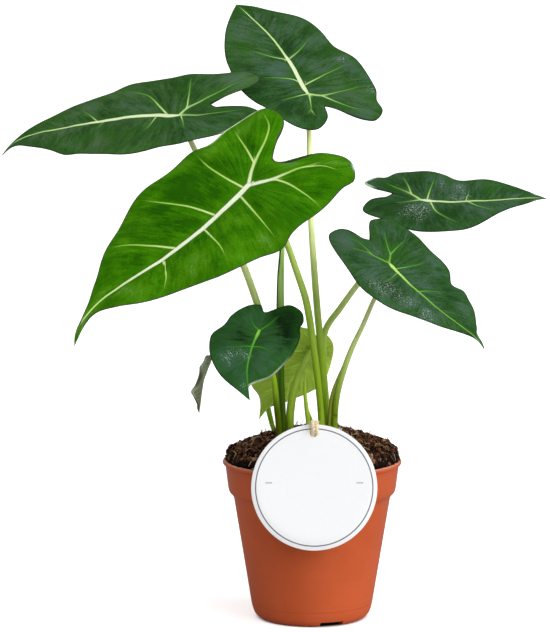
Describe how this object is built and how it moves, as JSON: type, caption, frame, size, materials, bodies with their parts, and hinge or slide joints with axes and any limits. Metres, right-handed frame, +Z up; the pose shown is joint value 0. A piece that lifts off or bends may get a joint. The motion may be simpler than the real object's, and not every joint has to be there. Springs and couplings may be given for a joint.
{
  "type": "potted green velvet alocasia",
  "caption": "Aroid house plant with arrow-shaped velvety green leaves on long stalks, standing in a round nursery pot filled with peat, with a blank round hang tag on twine.",
  "frame": {"origin": "middle of the pot's underside, on the surface it stands on", "axes": "+Z up along the pot's axis, -Y towards the side where the tag hangs, +X to the right seen from there"},
  "size_m": [0.3685, 0.2452, 0.4064],
  "materials": {
    "terracotta_plastic": "moulded polypropylene in a terracotta colour, satin, with faint rings and scuffs",
    "peat_soil": "rough dark peat and coir fibre crumbs, matt",
    "white_card": "smooth white card with a thin printed grey ring and no words",
    "jute_twine": "two-ply natural jute, hairy",
    "velvet_leaf": "dark velvety leaf with a soft bluish sheen and pale green ribs",
    "bright_leaf": "younger bright green leaf, satin, with cream-green ribs",
    "pale_leaf": "light green underside with raised ribs",
    "dry_leaf": "shrivelled grey-green leaf, matt and wrinkled",
    "green_stalk": "fleshy green stalk, satin, paler above and mottled near the base",
    "rolled_leaf": "tightly rolled new leaf, satin green with a dark seam"
  },
  "bodies": {
    "root": {"pot": "terracotta_plastic", "soil": "peat_soil", "tag": "white_card", "tag_twine": "jute_twine", "blade_top": "velvet_leaf", "blade_front": "bright_leaf", "blade_left": "velvet_leaf", "blade_right_upper": "velvet_leaf", "blade_low_front": "velvet_leaf", "blade_right": "velvet_leaf", "blade_hanging": "pale_leaf", "blade_withered": "dry_leaf", "stalk_top": "green_stalk", "stalk_front": "green_stalk", "stalk_left": "green_stalk", "stalk_right_upper": "green_stalk", "stalk_low_front": "green_stalk", "stalk_right": "green_stalk", "stalk_hanging": "green_stalk", "stalk_withered": "green_stalk", "spear_leaf": "rolled_leaf", "young_shoot": "green_stalk"}
  },
  "joints": []
}
